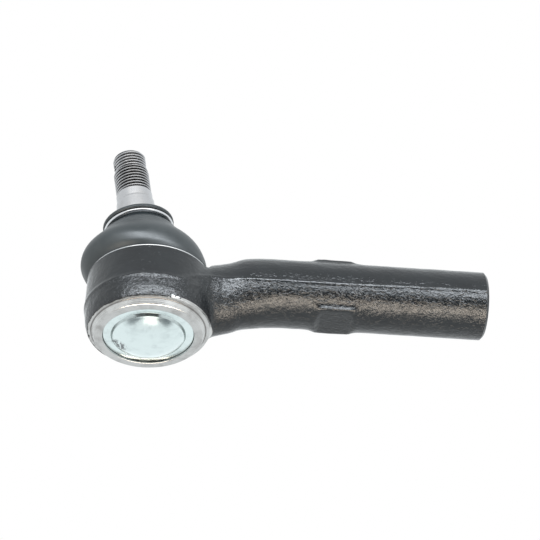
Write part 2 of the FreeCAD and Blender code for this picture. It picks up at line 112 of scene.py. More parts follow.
class Field:
    """A number that varies over space, held as a node socket, with ordinary arithmetic."""

    def __init__(self, tree: Tree, socket: Socket) -> None:
        """Wrap a socket of a tree."""
        self.tree = tree
        self.socket = socket

    def math(self, operation: str, *others: Value) -> "Field":
        """Apply a Math node's operation to this field and the others."""
        node = self.tree.nodes.new("ShaderNodeMath")
        node.operation = operation
        for index, item in enumerate((self, *others)):
            give(self.tree, node.inputs[index], item)
        return Field(self.tree, node.outputs[0])

    def __add__(self, other: Value) -> "Field":
        """Sum."""
        return self.math("ADD", other)

    def __sub__(self, other: Value) -> "Field":
        """Difference."""
        return self.math("SUBTRACT", other)

    def __mul__(self, other: Value) -> "Field":
        """Product."""
        return self.math("MULTIPLY", other)

    def __truediv__(self, other: Value) -> "Field":
        """Quotient."""
        return self.math("DIVIDE", other)

    def __neg__(self) -> "Field":
        """Negative."""
        return self.math("MULTIPLY", -1.0)

    def absolute(self) -> "Field":
        """Size without sign."""
        return self.math("ABSOLUTE")

    def most(self, other: Value) -> "Field":
        """The larger of two."""
        return self.math("MAXIMUM", other)

    def least(self, other: Value) -> "Field":
        """The smaller of two."""
        return self.math("MINIMUM", other)

    def squared(self) -> "Field":
        """Square."""
        return self * self

    def hypot(self, other: "Field") -> "Field":
        """The length of the long side over two square ones."""
        return (self.squared() + other.squared()).math("SQRT")

    def step(self, low: float, high: float, start: Value = 0.0,
             end: Value = 1.0) -> "Field":
        """Ease smoothly from start to end as this field goes from low to high."""
        node = self.tree.nodes.new("ShaderNodeMapRange")
        node.interpolation_type = "SMOOTHSTEP"
        give(self.tree, node.inputs["Value"], self)
        for name, item in (("From Min", low), ("From Max", high), ("To Min", start), ("To Max", end)):
            give(self.tree, node.inputs[name], item)
        return Field(self.tree, node.outputs["Result"])

    def fall(self, low: float, high: float) -> "Field":
        """Ease smoothly from 1 to 0 as this field goes from low to high."""
        return self.step(low, high, 1.0, 0.0)

    def around(self, middle: float, less: float, more: float) -> "Field":
        """Take a noise field smoothly from less below a middle value to more above it."""
        return self.step(0.3, 0.7, middle - less, middle + more)

    def band(self, low: float, full: float, full_end: float, high: float) -> "Field":
        """1 between full and full_end, easing to 0 at low and high."""
        return self.step(low, full) * self.fall(full_end, high)

    def curve(self, points: Outline) -> "Field":
        """Follow a smooth curve through points of (this field, result)."""
        first, last = points[0][0], points[-1][0]
        low, high = min(value for _, value in points), max(value for _, value in points)
        node = self.tree.nodes.new("ShaderNodeFloatCurve")
        give(self.tree, node.inputs["Value"], ((self - first) / (last - first)).most(0.0).least(1.0))
        knots = node.mapping.curves[0].points
        while len(knots) < len(points):
            knots.new(0.5, 0.5)
        for knot, (place, value) in zip(knots, points):
            knot.location = ((place - first) / (last - first), (value - low) / (high - low))
            knot.handle_type = "AUTO_CLAMPED"
        node.mapping.update()
        return Field(self.tree, node.outputs["Value"]) * (high - low) + low


class Graph:
    """A node tree being built: adds nodes and joins them."""

    def __init__(self, tree: Tree) -> None:
        """Start work on a tree."""
        self.tree = tree

    def add(self, kind: str, **inputs: object) -> bpy.types.Node:
        """Add a node; inputs are fields or sockets to link or values to set, named with _ for spaces."""
        node = self.tree.nodes.new(kind)
        for key, value in inputs.items():
            give(self.tree, node.inputs[key.replace("_", " ")], value)
        return node

    def field(self, socket: Socket) -> Field:
        """A socket as a field, for arithmetic."""
        return Field(self.tree, socket)

    def coordinates(self, place: Socket) -> list[Field]:
        """A place's X, Y and Z, in millimetres."""
        parts = self.add("ShaderNodeSeparateXYZ", Vector=place)
        return [self.field(parts.outputs[index]) * (1 / MM) for index in range(3)]


class Rule(Graph):
    """A Geometry Nodes tree being built, with named numbers that go in and a mesh that comes out."""

    def __init__(self, name: str) -> None:
        """Start a tree."""
        super().__init__(bpy.data.node_groups.new(name, "GeometryNodeTree"))
        self.tree.interface.new_socket(name="Geometry", in_out="OUTPUT", socket_type="NodeSocketGeometry")
        self.source = self.add("NodeGroupInput")
        self.place = self.add("GeometryNodeInputPosition").outputs[0]

    def number(self, name: str, value: float | int) -> Field:
        """Add a named input with its default."""
        kind = "NodeSocketInt" if isinstance(value, int) else "NodeSocketFloat"
        item = self.tree.interface.new_socket(name=name, in_out="INPUT", socket_type=kind)
        item.default_value = value
        return self.field(self.source.outputs[name])

    def finish(self, geometry: Socket) -> Tree:
        """Send geometry out of the tree as real mesh, through a Set Material node, and return the tree."""
        real = self.add("GeometryNodeRealizeInstances", Geometry=geometry)
        painted = self.add("GeometryNodeSetMaterial", Geometry=real.outputs[0])
        self.tree.links.new(painted.outputs[0], self.add("NodeGroupOutput").inputs[0])
        return self.tree


class Surface(Graph):
    """A material being built."""

    def __init__(self, name: str) -> None:
        """Start an empty material with one Principled shader."""
        self.material = bpy.data.materials.new(name)
        self.material.use_nodes = True
        super().__init__(self.material.node_tree)
        self.tree.nodes.clear()
        self.shader = self.add("ShaderNodeBsdfPrincipled")
        self.add("ShaderNodeOutputMaterial", Surface=self.shader.outputs[0])
        self.place = self.add("ShaderNodeTexCoord").outputs["Object"]

    def noise(self, scale: float, detail: float = 3.0, roughness: float = 0.55,
              stretch: Triple | None = None) -> Field:
        """A noise field on the object's own coordinates."""
        place = self.place
        if stretch:
            place = self.add("ShaderNodeMapping", Vector=place, Scale=stretch).outputs[0]
        node = self.add("ShaderNodeTexNoise", Vector=place, Scale=scale, Detail=detail, Roughness=roughness)
        return self.field(node.outputs["Fac"])

    def lines(self, across: Field, scale: float = 1.0) -> Field:
        """Noise that varies with one coordinate alone, as turning marks do."""
        place = self.add("ShaderNodeCombineXYZ", X=across).outputs[0]
        node = self.add("ShaderNodeTexNoise", Vector=place, Scale=scale, Detail=3.0)
        return self.field(node.outputs["Fac"])

    def blend(self, factor: Field, first: Socket | Triple, second: Socket | Triple) -> Socket:
        """Mix two colours, each a socket or a plain colour."""
        node = self.tree.nodes.new("ShaderNodeMix")
        node.data_type = "RGBA"
        give(self.tree, node.inputs[0], factor)
        for index, colour in ((6, first), (7, second)):
            give(self.tree, node.inputs[index], (*colour, 1.0) if isinstance(colour, tuple) else colour)
        return node.outputs[2]

    def attribute(self, name: str) -> Field:
        """A number stored on the mesh."""
        node = self.add("ShaderNodeAttribute")
        node.attribute_name = name
        return self.field(node.outputs["Fac"])

    def bump(self, heights: list[tuple[Field, Value, float]]) -> None:
        """Chain bumps, each a height field with a strength and a depth in metres."""
        chained = {}
        for height, strength, depth in heights:
            node = self.add("ShaderNodeBump", Height=height, Distance=depth, Strength=strength, **chained)
            chained = {"Normal": node.outputs[0]}
        self.set(**chained)

    def set(self, **inputs: object) -> None:
        """Set or link the shader's own inputs."""
        for key, value in inputs.items():
            give(self.tree, self.shader.inputs[key.replace("_", " ")], value)


# ---- mesh helpers


def placed(name: str, data: bpy.types.ID) -> Item:
    """Put a new object with this data in the scene."""
    made = bpy.data.objects.new(name, data)
    bpy.context.scene.collection.objects.link(made)
    return made


def outcome(item: Item) -> bpy.types.Mesh:
    """A plain mesh of what an object's modifiers make."""
    bpy.context.view_layer.update()
    graph = bpy.context.evaluated_depsgraph_get()
    return bpy.data.meshes.new_from_object(item.evaluated_get(graph))


def bake(name: str, tree: Tree, values: dict[str, float | int]) -> Item:
    """Run a Geometry Nodes tree once, with values by input name, and keep its result as an object."""
    holder = placed(name + "_maker", bpy.data.meshes.new(name + "_seed"))
    modifier = holder.modifiers.new("Maker", "NODES")
    modifier.node_group = tree
    for item in tree.interface.items_tree:
        if item.item_type == "SOCKET" and item.in_out == "INPUT" and item.name in values:
            modifier[item.identifier] = values[item.name]
    mesh = outcome(holder)
    mesh.name = name
    bpy.data.objects.remove(holder)
    return placed(name, mesh)


def title(name: str) -> str:
    """A field's name as a tree's input says it: pad_flat is Pad Flat."""
    return name.replace("_", " ").title()


def titled(owner: object, names: tuple[str, ...], scale: float = 1.0) -> dict[str, float]:
    """An object's sizes, scaled, under the names of a tree's inputs."""
    return {title(name): float(getattr(owner, name)) * scale for name in names}


def rounded(points: list[Triple], steps: int = 4) -> Outline:
    """Round the corners of an outline, and give it in metres.

    Args:
        points: radius, height and corner radius of each corner, in millimetres.
        steps: how many short sides each round corner gets.
    """
    outline: Outline = []
    for index, (across, along, fillet) in enumerate(points):
        here = Vector((across, along))
        if fillet <= 0 or index in (0, len(points) - 1):
            outline.append((across * MM, along * MM))
            continue
        before = Vector(points[index - 1][:2]) - here
        after = Vector(points[index + 1][:2]) - here
        reach = fillet / math.tan(before.angle(after) / 2)
        reach = min(reach, before.length * 0.49, after.length * 0.49)
        first, second = here + before.normalized() * reach, here + after.normalized() * reach
        for step in range(steps + 1):
            share = step / steps
            point = first.lerp(here, share).lerp(here.lerp(second, share), share)
            outline.append((point.x * MM, point.y * MM))
    return outline


def keep(name: str, shape: bmesh.types.BMesh) -> Item:
    """Turn a worked shape's faces outward and keep it as an object."""
    bmesh.ops.recalc_face_normals(shape, faces=shape.faces)
    mesh = bpy.data.meshes.new(name)
    shape.to_mesh(mesh)
    shape.free()
    return placed(name, mesh)


def turned(name: str, outline: Outline, closed: bool = True, segments: int = 128,
           pose: Matrix | None = None) -> Item:
    """Turn an outline of (radius, height) once round Z.

    Args:
        name: the new object's name.
        outline: the points, in metres.
        closed: whether the last point joins the first.
        segments: steps round the axis.
        pose: where the turned shape goes.
    """
    shape = bmesh.new()
    rings = []
    for across, along in outline:
        if across < 1e-7:
            rings.append([shape.verts.new((0.0, 0.0, along))])
            continue
        turns = (2 * math.pi * index / segments for index in range(segments))
        rings.append([shape.verts.new((across * math.cos(a), across * math.sin(a), along)) for a in turns])
    for low, high in zip(rings, rings[1:] + (rings[:1] if closed else [])):
        for index in range(segments):
            after = index + 1
            corners = [low[index % len(low)], low[after % len(low)],
                       high[after % len(high)], high[index % len(high)]]
            corners = list(dict.fromkeys(corners))
            if len(corners) > 2:
                shape.faces.new(corners)
    made = keep(name, shape)
    if pose:
        made.data.transform(pose)
    return made


def laid(item: Item, height: float) -> Item:
    """Lay an upright piece along X, with its axis at a height in millimetres."""
    item.data.transform(Matrix.Translation((0, 0, height * MM)) @ Matrix.Rotation(math.pi / 2, 4, "Y"))
    return item


def soften(item: Item, angle: float = 32.0) -> None:
    """Shade smooth, with edges sharper than angle degrees left crisp."""
    item.data.polygons.foreach_set("use_smooth", [True] * len(item.data.polygons))
    item.data.set_sharp_from_angle(angle=math.radians(angle))
    item.data.update()


def dress(item: Item, material: Material, slot: Slot, body: Body, *nodes: str) -> None:
    """Give a finished piece its material and body, and hide the nodes that it stands for."""
    item.data.materials.clear()
    item.data.materials.append(material)
    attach(item, body.value)
    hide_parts(*nodes)
    LOG.info("%s: %d faces on %s", item.name, len(item.data.polygons), body.value)


def cut(item: Item, tool: Item) -> None:
    """Take the tool's shape away from the item, and delete the tool."""
    modifier = item.modifiers.new("Cut", "BOOLEAN")
    modifier.operation = "DIFFERENCE"
    modifier.solver = "MANIFOLD"
    modifier.object = tool
    mesh = outcome(item)
    item.modifiers.remove(modifier)
    item.data = mesh
    item.data.name = item.name
    bpy.data.objects.remove(tool)


# ---- threads


THREAD_SIZES = ("pitch", "start", "end", "crest", "depth", "tip_start", "tip_full", "tip_drop", "runout")


@dataclass
class Thread:
    """A screw thread's sizes, in millimetres."""
    pitch: float
    start: float
    end: float
    crest: float
    depth: float
    tip_start: float
    tip_full: float
    tip_drop: float
    runout: float = 0.6
    rows_a_turn: int = 14
    segments: int = 128

    def make(self, name: str, tree: Tree) -> Item:
        """Bake the thread as an open tube round Z."""
        turns = (self.end - self.start) / self.pitch + 1
        counts = {"Rows": int(turns * self.rows_a_turn) + 1, "Segments": self.segments}
        return bake(name, tree, titled(self, THREAD_SIZES, MM) | counts)


def thread_tree() -> Tree:
    """The rule of a screw thread: a tube round Z whose radius follows a helical groove, in metres."""
    flank_start, flank_end = 0.12, 0.88
    rule = Rule("screw_thread")
    given = {name: rule.number(title(name), MM) for name in THREAD_SIZES}
    rows, segments = rule.number("Rows", 64), rule.number("Segments", 64)
    grid = rule.add("GeometryNodeMeshGrid", Size_X=1.0, Size_Y=1.0, Vertices_X=rows,
                    Vertices_Y=segments + 1.0)
    parts = rule.add("ShaderNodeSeparateXYZ", Vector=rule.place)
    along, turn = (rule.field(parts.outputs[index]) + 0.5 for index in range(2))
    run = given["end"] - given["start"]
    lift = along * (run + given["pitch"]) + (turn - 1.0) * given["pitch"]
    height = lift.most(0.0).least(run)
    phase = (height / given["pitch"] - turn).math("FRACT")
    groove = ((phase - 0.5).absolute() * -2.0 + 1.0).step(flank_start, flank_end)
    fade = (height / given["runout"]).least(1.0)
    place = height + given["start"]
    tip = (place - given["tip_start"]) / (given["tip_full"] - given["tip_start"])
    drop = tip.most(0.0).least(1.0) * given["tip_drop"]
    depth = (given["depth"] - drop * 0.6) * fade
    radius = given["crest"] - drop - groove * depth
    angle = turn * (2 * math.pi)
    joined = rule.add("ShaderNodeCombineXYZ", X=radius * angle.math("COSINE"),
                      Y=radius * angle.math("SINE"), Z=place)
    moved = rule.add("GeometryNodeSetPosition", Geometry=grid.outputs["Mesh"], Position=joined.outputs[0])
    merged = rule.add("GeometryNodeMergeByDistance", Geometry=moved.outputs[0], Distance=1e-7)
    return rule.finish(merged.outputs[0])


def close_tube(name: str, tube: Item, below: Outline, above: Outline, segments: int) -> Item:
    """Join turned ends to an open threaded tube and close the seams between them.

    The outline below ends at the tube's low rim, and the one above starts at its high rim.
    """
    shape = bmesh.new()
    shape.from_mesh(tube.data)
    bpy.data.objects.remove(tube)
    for outline in (below, above):
        piece = turned(name + "_end", outline, closed=False, segments=segments)
        shape.from_mesh(piece.data)
        bpy.data.objects.remove(piece)
    bmesh.ops.remove_doubles(shape, verts=shape.verts, dist=2e-6)
    bmesh.ops.dissolve_degenerate(shape, dist=1e-7, edges=shape.edges)
    open_edges = [edge for edge in shape.edges if edge.is_boundary]
    if open_edges:
        bmesh.ops.holes_fill(shape, edges=open_edges, sides=0)
    LOG.info("%s: %d rim edges were filled", name, len(open_edges))
    return keep(name, shape)


# ---- finishes


@dataclass(frozen=True)
class ForgedCoat:
    """Satin black paint on a forging, and the bare metal where it was machined afterwards. Millimetres."""
    paint: Triple = (0.003, 0.004, 0.005)
    pale: Triple = (0.006, 0.0085, 0.0105)
    chip: Triple = (0.06, 0.058, 0.056)
    metal: Triple = (0.58, 0.58, 0.57)
    stain: Triple = (0.26, 0.25, 0.24)
    # painted shade colour for the groove at the lip's inner corner
    groove_shade: Triple = (0.10, 0.09, 0.085)
    shadow: Triple = (0.012, 0.011, 0.010)
    paint_roughness: float = 0.12
    metal_roughness: float = 0.27
    edge_radius: float = 23.3
    edge_wander: float = 1.3
    edge_pull: float = 0.08
    foot_height: float = -13.2
    bore_radius: float = 10.2
    cavity_radius: float = 18.7
    cavity_height: float = 11.9

    def bare(self, work: Surface, radius: Field, place: list[Field], sleeve_height: float) -> Field:
        """1 where the paint was machined away: the underside, the sleeve's bore and the cavity."""
        across, aside, up = place
        wander = (work.noise(260.0, 4.0, 0.7) - 0.5) * (self.edge_wander * 2)
        edge = radius + wander - across.most(0.0) * self.edge_pull
        foot = edge.fall(self.edge_radius - 0.12, self.edge_radius + 0.12)
        foot = foot * up.fall(self.foot_height - 0.2, self.foot_height)
        bore = aside.hypot(up - sleeve_height).fall(self.bore_radius - 0.3, self.bore_radius)
        cavity = radius.fall(self.cavity_radius - 0.3, self.cavity_radius)
        cavity = cavity * up.fall(self.cavity_height - 0.3, self.cavity_height)
        return foot.most(bore * across.step(60.0, 62.0)).most(cavity)

    def paint_colour(self, work: Surface) -> Socket:
        """Black paint with paler dust and small scuffs."""
        dust = work.noise(90.0, 4.0, 0.6).step(0.35, 0.75, end=0.4)
        scuffs = work.noise(420.0, 5.0, 0.7).step(0.66, 0.74, end=0.35)
        return work.blend(scuffs, work.blend(dust, self.paint, self.pale), self.chip)

    def metal_colour(self, work: Surface, radius: Field, up: Field) -> Socket:
        """Stained metal, with painted shade in the groove at the lip's inner corner and a painted shadow in
        the gap round the cover.
        """
        colour = work.blend(work.noise(180.0, 4.0, 0.65).step(0.4, 0.75, end=0.6), self.metal, self.stain)
        # painted shade: a dark ring over radius 21.9 to 22.6 mm, in the lip's inner corner
        colour = work.blend(radius.band(21.9, 22.15, 22.3, 22.6) * 0.75, colour, self.groove_shade)
        # painted shadow: near black in the gap where the cover meets the lip
        gap = radius.fall(17.75, 17.95) * up.band(-16.2, -15.9, -14.0, -13.8)
        return work.blend(gap * 0.95, colour, self.shadow)

    def make(self, sleeve_height: float) -> Material:
        """Build the material round a sleeve whose axis is at this height."""
        work = Surface("black_forging_coat")
        across, aside, up = place = work.coordinates(work.place)
        radius = across.hypot(aside)
        bare = self.bare(work, radius, place, sleeve_height)
        colour = work.blend(bare, self.paint_colour(work), self.metal_colour(work, radius, up))
        rings = work.lines(radius, 4.5)
        rough = work.noise(150.0, 3.0).around(self.paint_roughness, 0.04, 0.08)
        polish = rings.around(self.metal_roughness, 0.08, 0.1)
        work.set(Base_Color=colour, Metallic=bare, Specular_IOR_Level=0.55,
                 Roughness=rough + (polish - rough) * bare)
        line = across.step(4.0, 24.0, -5.1, 3.6) + across.step(40.0, 133.0, 0.0, 1.9)
        coarse = (bare * -1.0 + 1.0) * (up - line).step(-0.4, 0.4, 1.0, 0.4)
        pits = work.noise(800.0, 2.0, 0.5, stretch=(0.6, 1.0, 1.0)).step(0.5, 0.58)
        work.bump([(work.noise(520.0, 4.0, 0.65), coarse * 0.9, 0.00034),
                   (work.noise(1500.0, 3.0, 0.6), coarse * 0.8, 0.00011),
                   (pits, coarse * 0.7, 0.00010), (rings, bare * 0.5, 0.00004)])
        return work.material


def turned_steel(name: str, roughness: float = 0.32, line_scale: float = 2200.0) -> Material:
    """Bright steel with fine lines round its axis, darker in the thread valleys.

    It reads the piece's own along and valley attributes.
    """
    bright, smeared = (0.50, 0.50, 0.51), (0.38, 0.37, 0.36)
    lined, valley_dark = (0.25, 0.24, 0.23), (0.045, 0.041, 0.037)
    work = Surface(name)
    valley = work.attribute("valley")
    lines = work.lines(work.attribute("along") * line_scale)
    smear = work.noise(160.0, 4.0, 0.6)
    colour = work.blend(smear.step(0.4, 0.75, end=0.5), bright, smeared)
    colour = work.blend(lines.step(0.25, 0.5, 0.25, 0.0), colour, lined)
    # darker and rougher in the thread valleys, by the valley depth stored on the mesh
    work.set(Base_Color=work.blend(valley.step(0.15, 0.65), colour, valley_dark), Metallic=1.0,
             Roughness=(smear.around(roughness, 0.07, 0.1) + valley * 0.35).least(1.0))
    nicks = work.noise(700.0, 3.0, 0.6).step(0.6, 0.8)
    work.bump([(lines, 0.5, 0.00002), (nicks, 0.25, 0.00005)])
    return work.material


def plated_steel(name: str, bright: Triple, shade: Triple, roughness: float) -> Material:
    """Sheet steel with a thin pale plating, for pressed rings and hidden plates."""
    work = Surface(name)
    mottle = work.noise(260.0, 5.0, 0.65)
    scratch = work.noise(90.0, 5.0, 0.7, stretch=(0.35, 4.0, 1.0))
    colour = work.blend(mottle.step(0.45, 0.75, end=0.7), bright, shade)
    work.set(Base_Color=work.blend(scratch.step(0.62, 0.70, end=0.35), colour, (0.30, 0.30, 0.31)),
             Metallic=1.0, Roughness=mottle.around(roughness, 0.06, 0.12))
    work.bump([(scratch, 0.12, 0.0001), (mottle, 0.15, 0.00006)])
    return work.material


def domed_plating(scuff_place: tuple[float, float] = (-11.0, 4.0), scuff_size: float = 4.2) -> Material:
    """Pale plating on the cover's outside, with painted shade at its edge beside the lip and a fainter
    painted shade line at the dome's foot, and scuffed in one place. Millimetres.
    """
    bright, dull = (0.78, 0.87, 0.86), (0.56, 0.63, 0.63)
    # the second colour here is painted shade, for the rim beside the lip and the dome's foot
    scuffed, edge_shade = (0.12, 0.12, 0.13), (0.02, 0.02, 0.018)
    work = Surface("zinc_plate_finish")
    across, aside, _ = work.coordinates(work.place)
    radius = across.hypot(aside)
    mottle = work.noise(230.0, 5.0, 0.65)
    reach = (across - scuff_place[0]).hypot(aside - scuff_place[1])
    streaks = work.noise(900.0, 4.0, 0.75, stretch=(1.0, 0.35, 1.0)).step(0.44, 0.56)
    scuff = reach.fall(scuff_size * 0.4, scuff_size) * streaks
    colour = work.blend(mottle.step(0.45, 0.75, end=0.6), bright, dull)
    colour = work.blend(scuff * 0.85, colour, scuffed)
    # painted shade: near black beside the lip from radius 17.35 mm, and a fainter line at the dome's foot
    edge = radius.step(17.35, 17.6) + radius.band(13.7, 13.85, 14.1, 14.5) * 0.3
    work.set(Base_Color=work.blend(edge.least(1.0), colour, edge_shade), Metallic=1.0,
             Roughness=mottle.around(0.2, 0.04, 0.07) + scuff * 0.25)
    work.bump([(mottle, 0.1, 0.00005), (scuff, 0.5, 0.00015)])
    return work.material


def rubber(name: str, roughness: float) -> Material:
    """Dark moulded rubber with a faint bloom and a few pale specks."""
    black, bloom, speck = (0.010, 0.014, 0.016), (0.022, 0.027, 0.029), (0.16, 0.15, 0.14)
    work = Surface(name)
    cloud = work.noise(75.0, 4.0, 0.6)
    colour = work.blend(cloud.step(0.42, 0.75, end=0.75), black, bloom)
    colour = work.blend(work.noise(900.0, 2.0, 0.6).step(0.70, 0.78, end=0.3), colour, speck)
    work.set(Base_Color=colour, Specular_IOR_Level=0.6, Roughness=cloud.around(roughness, 0.06, 0.08))
    flow = work.noise(40.0, 3.0, 0.5, stretch=(1.0, 1.0, 5.0))
    work.bump([(flow, 0.35, 0.0003), (work.noise(1300.0, 3.0, 0.6), 0.35, 0.00005)])
    return work.material


def polymer(name: str) -> Material:
    """Pale bearing plastic with faint moulding flow."""
    work = Surface(name)
    flow = work.noise(60.0, 4.0, 0.6, stretch=(1.0, 1.0, 3.0))
    work.set(Base_Color=work.blend(flow.step(0.35, 0.7, end=0.6), (0.62, 0.60, 0.54), (0.50, 0.47, 0.40)),
             Roughness=flow.step(0.3, 0.7, 0.35, 0.5))
    work.bump([(flow, 0.2, 0.0001)])
    return work.material


# ---- sub-assemblies


def stud_lean() -> Matrix:
    """The turn that takes +Z to the stud's axis at rest, read from the spin joint."""
    axis = next(Vector(joint["axis"]) for joint in frame["joints"] if joint["name"] == "stud_spin")
    return Vector((0.0, 0.0, 1.0)).rotation_difference(axis).to_matrix().to_4x4()


HOUSING_SIZES = ("socket_radius", "draft", "parting", "sleeve_height", "pad_middle", "pad_half_length",
                 "pad_half_width", "pad_flat", "fillet", "lump", "grain", "ridge", "seed")


@dataclass
class Housing:
    """The forging: socket, web, neck, sleeve and wrench pads, with its machined faces. Millimetres."""
    socket_radius: float = 24.95
    draft: float = 0.06
    parting: float = -5.1
    sleeve_radius: float = 13.48
    sleeve_height: float = 7.5
    sleeve_end: float = 133.0
    pad_middle: float = 72.75
    pad_half_length: float = 5.8
    pad_half_width: float = 8.3
    pad_flat: float = 12.4
    fillet: float = 2.6
    lump: float = 0.30
    grain: float = 0.10
    ridge: float = 0.30
    voxel: float = 0.6
    seed: int = 7
    margin: float = 1.6
    neck: list[tuple[float, float, float, float]] = field(default_factory=lambda: [
        (10.0, 18.5, 12.0, -2.0), (20.0, 15.8, 13.8, -0.2), (25.2, 13.8, 14.6, 1.6),
        (31.3, 12.8, 14.7, 3.4), (39.3, 13.3, 14.4, 6.2)])
    sleeve_starts: tuple[float, float] = (54.7, 60.0)
    parting_line: Outline = field(default_factory=lambda: [
        (4.0, -5.1), (9.0, -5.0), (14.0, -2.2), (19.0, 1.4), (25.0, 3.4), (40.0, 4.2), (60.0, 4.3),
        (133.0, 5.4)])

    def sections(self) -> list[tuple[float, float, float, float]]:
        """The arm's place, half width, half height and level, from the neck to the round sleeve."""
        sleeve = (self.sleeve_radius, self.sleeve_radius, self.sleeve_height)
        return self.neck + [(place, *sleeve) for place in self.sleeve_starts]

    def tree(self) -> Tree:
        """The rule of the forging's skin: a signed distance in millimetres, in a voxel grid."""
        rule = Rule("forged_housing")
        sizes = {name: rule.number(title(name), float(getattr(self, name))) for name in HOUSING_SIZES}
        place = along, _, up = rule.coordinates(rule.place)
        arm = self.arm_field(sizes, *place)
        skin = self.socket_field(sizes, *place).math("SMOOTH_MIN", arm, sizes["fillet"])
        off_line = (up - along.curve(self.parting_line)).absolute()
        skin = skin - off_line.step(0.1, 1.0, sizes["ridge"], 0.0)
        for scale, height in ((0.16, "lump"), (0.55, "grain")):
            noise = rule.add("ShaderNodeTexNoise", Vector=rule.place, Scale=scale / MM, Detail=2.0)
            noise.noise_dimensions = "4D"
            give(rule.tree, noise.inputs["W"], sizes["seed"])
            skin = skin + (rule.field(noise.outputs["Fac"]) - 0.5) * sizes[height]
        low, high = self.grid_box()
        cube = rule.add("GeometryNodeVolumeCube", Density=-skin, Background=-5.0,
                        Min=[value * MM for value in low], Max=[value * MM for value in high])
        for name, start, stop in zip("XYZ", low, high):
            cube.inputs["Resolution " + name].default_value = round((stop - start) / self.voxel)
        mesher = rule.add("GeometryNodeVolumeToMesh", Volume=cube.outputs[0], Threshold=0.0)
        return rule.finish(mesher.outputs[0])

    def grid_box(self) -> tuple[Triple, Triple]:
        """The voxel grid's corners, in millimetres, from the CAD housing's own box."""
        low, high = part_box("housing")
        spread = self.margin
        return (tuple(value / MM - spread for value in low), tuple(value / MM + spread for value in high))

    def socket_field(self, sizes: dict[str, Field], along: Field, aside: Field, up: Field) -> Field:
        """Signed distance to the socket, with draft either side of the parting line."""
        radius = along.hypot(aside)
        limit = sizes["socket_radius"] - (up - sizes["parting"]).absolute() * sizes["draft"]
        limit = limit - (-up - 9.5).most(0.0).squared() * 0.03
        wall = (radius - limit).math("SMOOTH_MAX", (up - 13.4).most(-up - 15.0), 1.2)
        lip_blank = (radius - 22.8).most((up + 4.0).most(-up - 18.2))
        return wall.least(lip_blank)

    def arm_field(self, sizes: dict[str, Field], along: Field, aside: Field, up: Field) -> Field:
        """Signed distance to the web, neck, sleeve and wrench pads."""
        wide, tall, centre = (along.curve([(row[0], row[column]) for row in self.sections()])
                              for column in (1, 2, 3))
        level = up - centre
        keel = along.step(35.0, 52.0, 0.12, 0.0) * (-level / tall).most(0.0)
        round_part = (aside / (wide * (-keel + 1.0))).hypot(level / tall) - 1.0
        bar = (round_part * wide.least(tall)).math("SMOOTH_MAX", -along + 6.0, 2.0)
        offset = (along - sizes["pad_middle"]).absolute() - sizes["pad_half_length"]
        height = (up - sizes["sleeve_height"]).absolute()
        flank = (offset - 1.5) * 0.42 + (aside.hypot(height) - 14.2) * 0.9
        sides = (aside.absolute() - sizes["pad_half_width"]).math("SMOOTH_MAX", flank, 1.0)
        roof = height - (sizes["pad_flat"] + offset.most(0.0) * 0.7)
        return bar.math("SMOOTH_MIN", sides, 1.6).math("SMOOTH_MAX", roof, 1.2)

    def socket_cutter(self) -> Item:
        """Everything that the lathe takes from the socket: underside, cavity, hub and relief."""
        return turned("socket_cutter", rounded([
            (0, 40, 0), (25.3, 40, 0), (25.3, 9, 0.9), (19.5, 9, 0), (19.5, 12, 0.5), (12.7, 12, 0),
            (11.6, 8.9, 0), (12.7, 8.9, 0), (17.0, 2.0, 0), (17.0, -14.6, 0), (17.6, -14.6, 0),
            (17.6, -13.2, 0), (18.6, -13.2, 0), (18.6, -16.2, 0), (17.7, -16.2, 0), (17.7, -17.3, 0.7),
            (19.4, -17.3, 0.4), (19.8, -17.12, 0.4), (21.0, -17.2, 1.0), (22.2, -14.5, 0.5),
            (24.05, -14.5, 0.25), (26.4, -14.5, 0.2), (26.6, -16.2, 0), (27, -40, 0), (0, -40, 0),
        ]), segments=176)

    def sleeve_cutter(self, tree: Tree) -> Item:
        """The threaded bore, its drill point, and the sleeve's faced and bevelled end."""
        thread = Thread(pitch=1.5875, start=86.0, end=131.9, crest=9.53, depth=0.81, tip_start=150.0,
                        tip_full=151.0, tip_drop=0.0, runout=1.0, rows_a_turn=8, segments=72)
        edge = self.sleeve_end
        drill = rounded([(0, 67.2, 0), (8.5, 72, 0), (8.5, 85.7, 0), (thread.crest, thread.start, 0)])
        mouth = rounded([(8.72, thread.end, 0), (9.8, edge, 0), (12.5, edge, 0), (13.8, edge - 1.3, 0),
                         (18, edge - 1.3, 0), (18, edge + 8, 0), (0, edge + 8, 0)])
        tube = thread.make("rod_thread", tree)
        return laid(close_tube("sleeve_cutter", tube, drill, mouth, thread.segments), self.sleeve_height)

    def build(self, thread_rule: Tree) -> None:
        """Make the forging and machine it."""
        item = bake("forged_housing", self.tree(), titled(self, HOUSING_SIZES))
        cut(item, self.socket_cutter())
        cut(item, self.sleeve_cutter(thread_rule))
        soften(item, 38.0)
        dress(item, ForgedCoat().make(self.sleeve_height), Slot.FORGING, Body.SOCKET, "housing")


